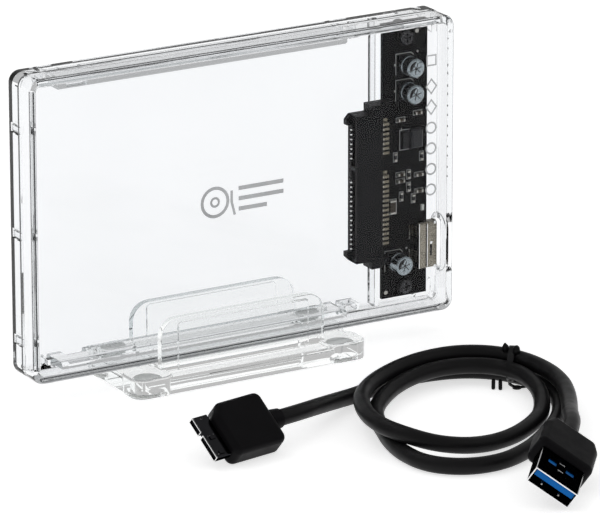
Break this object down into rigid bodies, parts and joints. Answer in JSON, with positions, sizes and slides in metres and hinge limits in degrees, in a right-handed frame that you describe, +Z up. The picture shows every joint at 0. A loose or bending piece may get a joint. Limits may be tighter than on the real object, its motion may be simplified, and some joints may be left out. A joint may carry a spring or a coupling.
{
  "type": "external hard disk drive enclosure",
  "caption": "Clear flat enclosure for a small hard disk drive, with its connector board inside, on a clear cradle, with its short coiled USB lead.",
  "frame": {"origin": "on the surface that the cradle stands on, under the middle of the enclosure", "axes": "+X along the enclosure's length to the end with the USB port, +Y from the front cover to the rear shell, +Z up"},
  "size_m": [0.122, 0.1499, 0.085],
  "materials": {
    "clear_shell": "polished clear polycarbonate",
    "clear_cradle": "polished clear polycarbonate",
    "silicone_pad": "soft translucent silicone",
    "board_black": "satin black solder mask",
    "black_screw": "black zinc",
    "connector_black": "smooth moulded black",
    "gold_contact": "gold plated",
    "port_nickel": "warm satin nickel",
    "chip_epoxy": "matte black epoxy",
    "ferrite": "dark grey ferrite",
    "ceramic_part": "fired tan ceramic with tinned ends",
    "led_lens": "clear epoxy lens",
    "capacitor_aluminium": "bright drawn aluminium",
    "lead_black": "satin black vinyl",
    "tie_black": "black vinyl ribbon",
    "plug_steel": "bright nickel-plated steel",
    "insulator_blue": "smooth moulded blue"
  },
  "bodies": {
    "stand": {"stand_cradle": "clear_cradle", "foot_pad_front_left": "silicone_pad", "foot_pad_front_right": "silicone_pad", "foot_pad_rear_left": "silicone_pad", "foot_pad_rear_right": "silicone_pad"},
    "case": {"rear_shell": "clear_shell", "circuit_board": "board_black", "board_screw_upper": "black_screw", "board_screw_lower": "black_screw", "sata_housing": "connector_black", "sata_signal_contacts": "gold_contact", "sata_power_contacts": "gold_contact", "usb_port_shell": "port_nickel", "usb_port_tongue": "connector_black", "usb_port_contacts": "gold_contact", "bridge_chip": "chip_epoxy", "crystal": "port_nickel", "regulator": "chip_epoxy", "inductor": "ferrite", "fuse": "ceramic_part", "ceramic_capacitors": "ceramic_part", "resistors": "chip_epoxy", "status_led": "led_lens", "capacitor_base_1": "connector_black", "capacitor_can_1": "capacitor_aluminium", "capacitor_base_2": "connector_black", "capacitor_can_2": "capacitor_aluminium", "capacitor_base_3": "connector_black", "capacitor_can_3": "capacitor_aluminium"},
    "cover": {"front_cover": "clear_shell"},
    "usb_lead": {"lead_tube": "lead_black", "lead_tail": "lead_black", "lead_coil": "lead_black", "lead_tie": "tie_black", "micro_plug_grip": "lead_black", "micro_plug_shell": "plug_steel", "micro_plug_insert": "connector_black", "usb_plug_grip": "lead_black", "usb_plug_shell": "plug_steel", "usb_plug_insulator": "insulator_blue", "usb_plug_contacts": "gold_contact"}
  },
  "joints": [
    {"name": "case_lift", "type": "slide", "parent": "stand", "child": "case", "axis": [0, 0, 1], "range_m": [0, 0.045]},
    {"name": "cover_slide", "type": "slide", "parent": "case", "child": "cover", "axis": [-1, 0, 0], "range_m": [0, 0.0035]},
    {"name": "lead_lift", "type": "slide", "parent": "stand", "child": "usb_lead", "axis": [0, 0, 1], "range_m": [0, 0.03]}
  ]
}
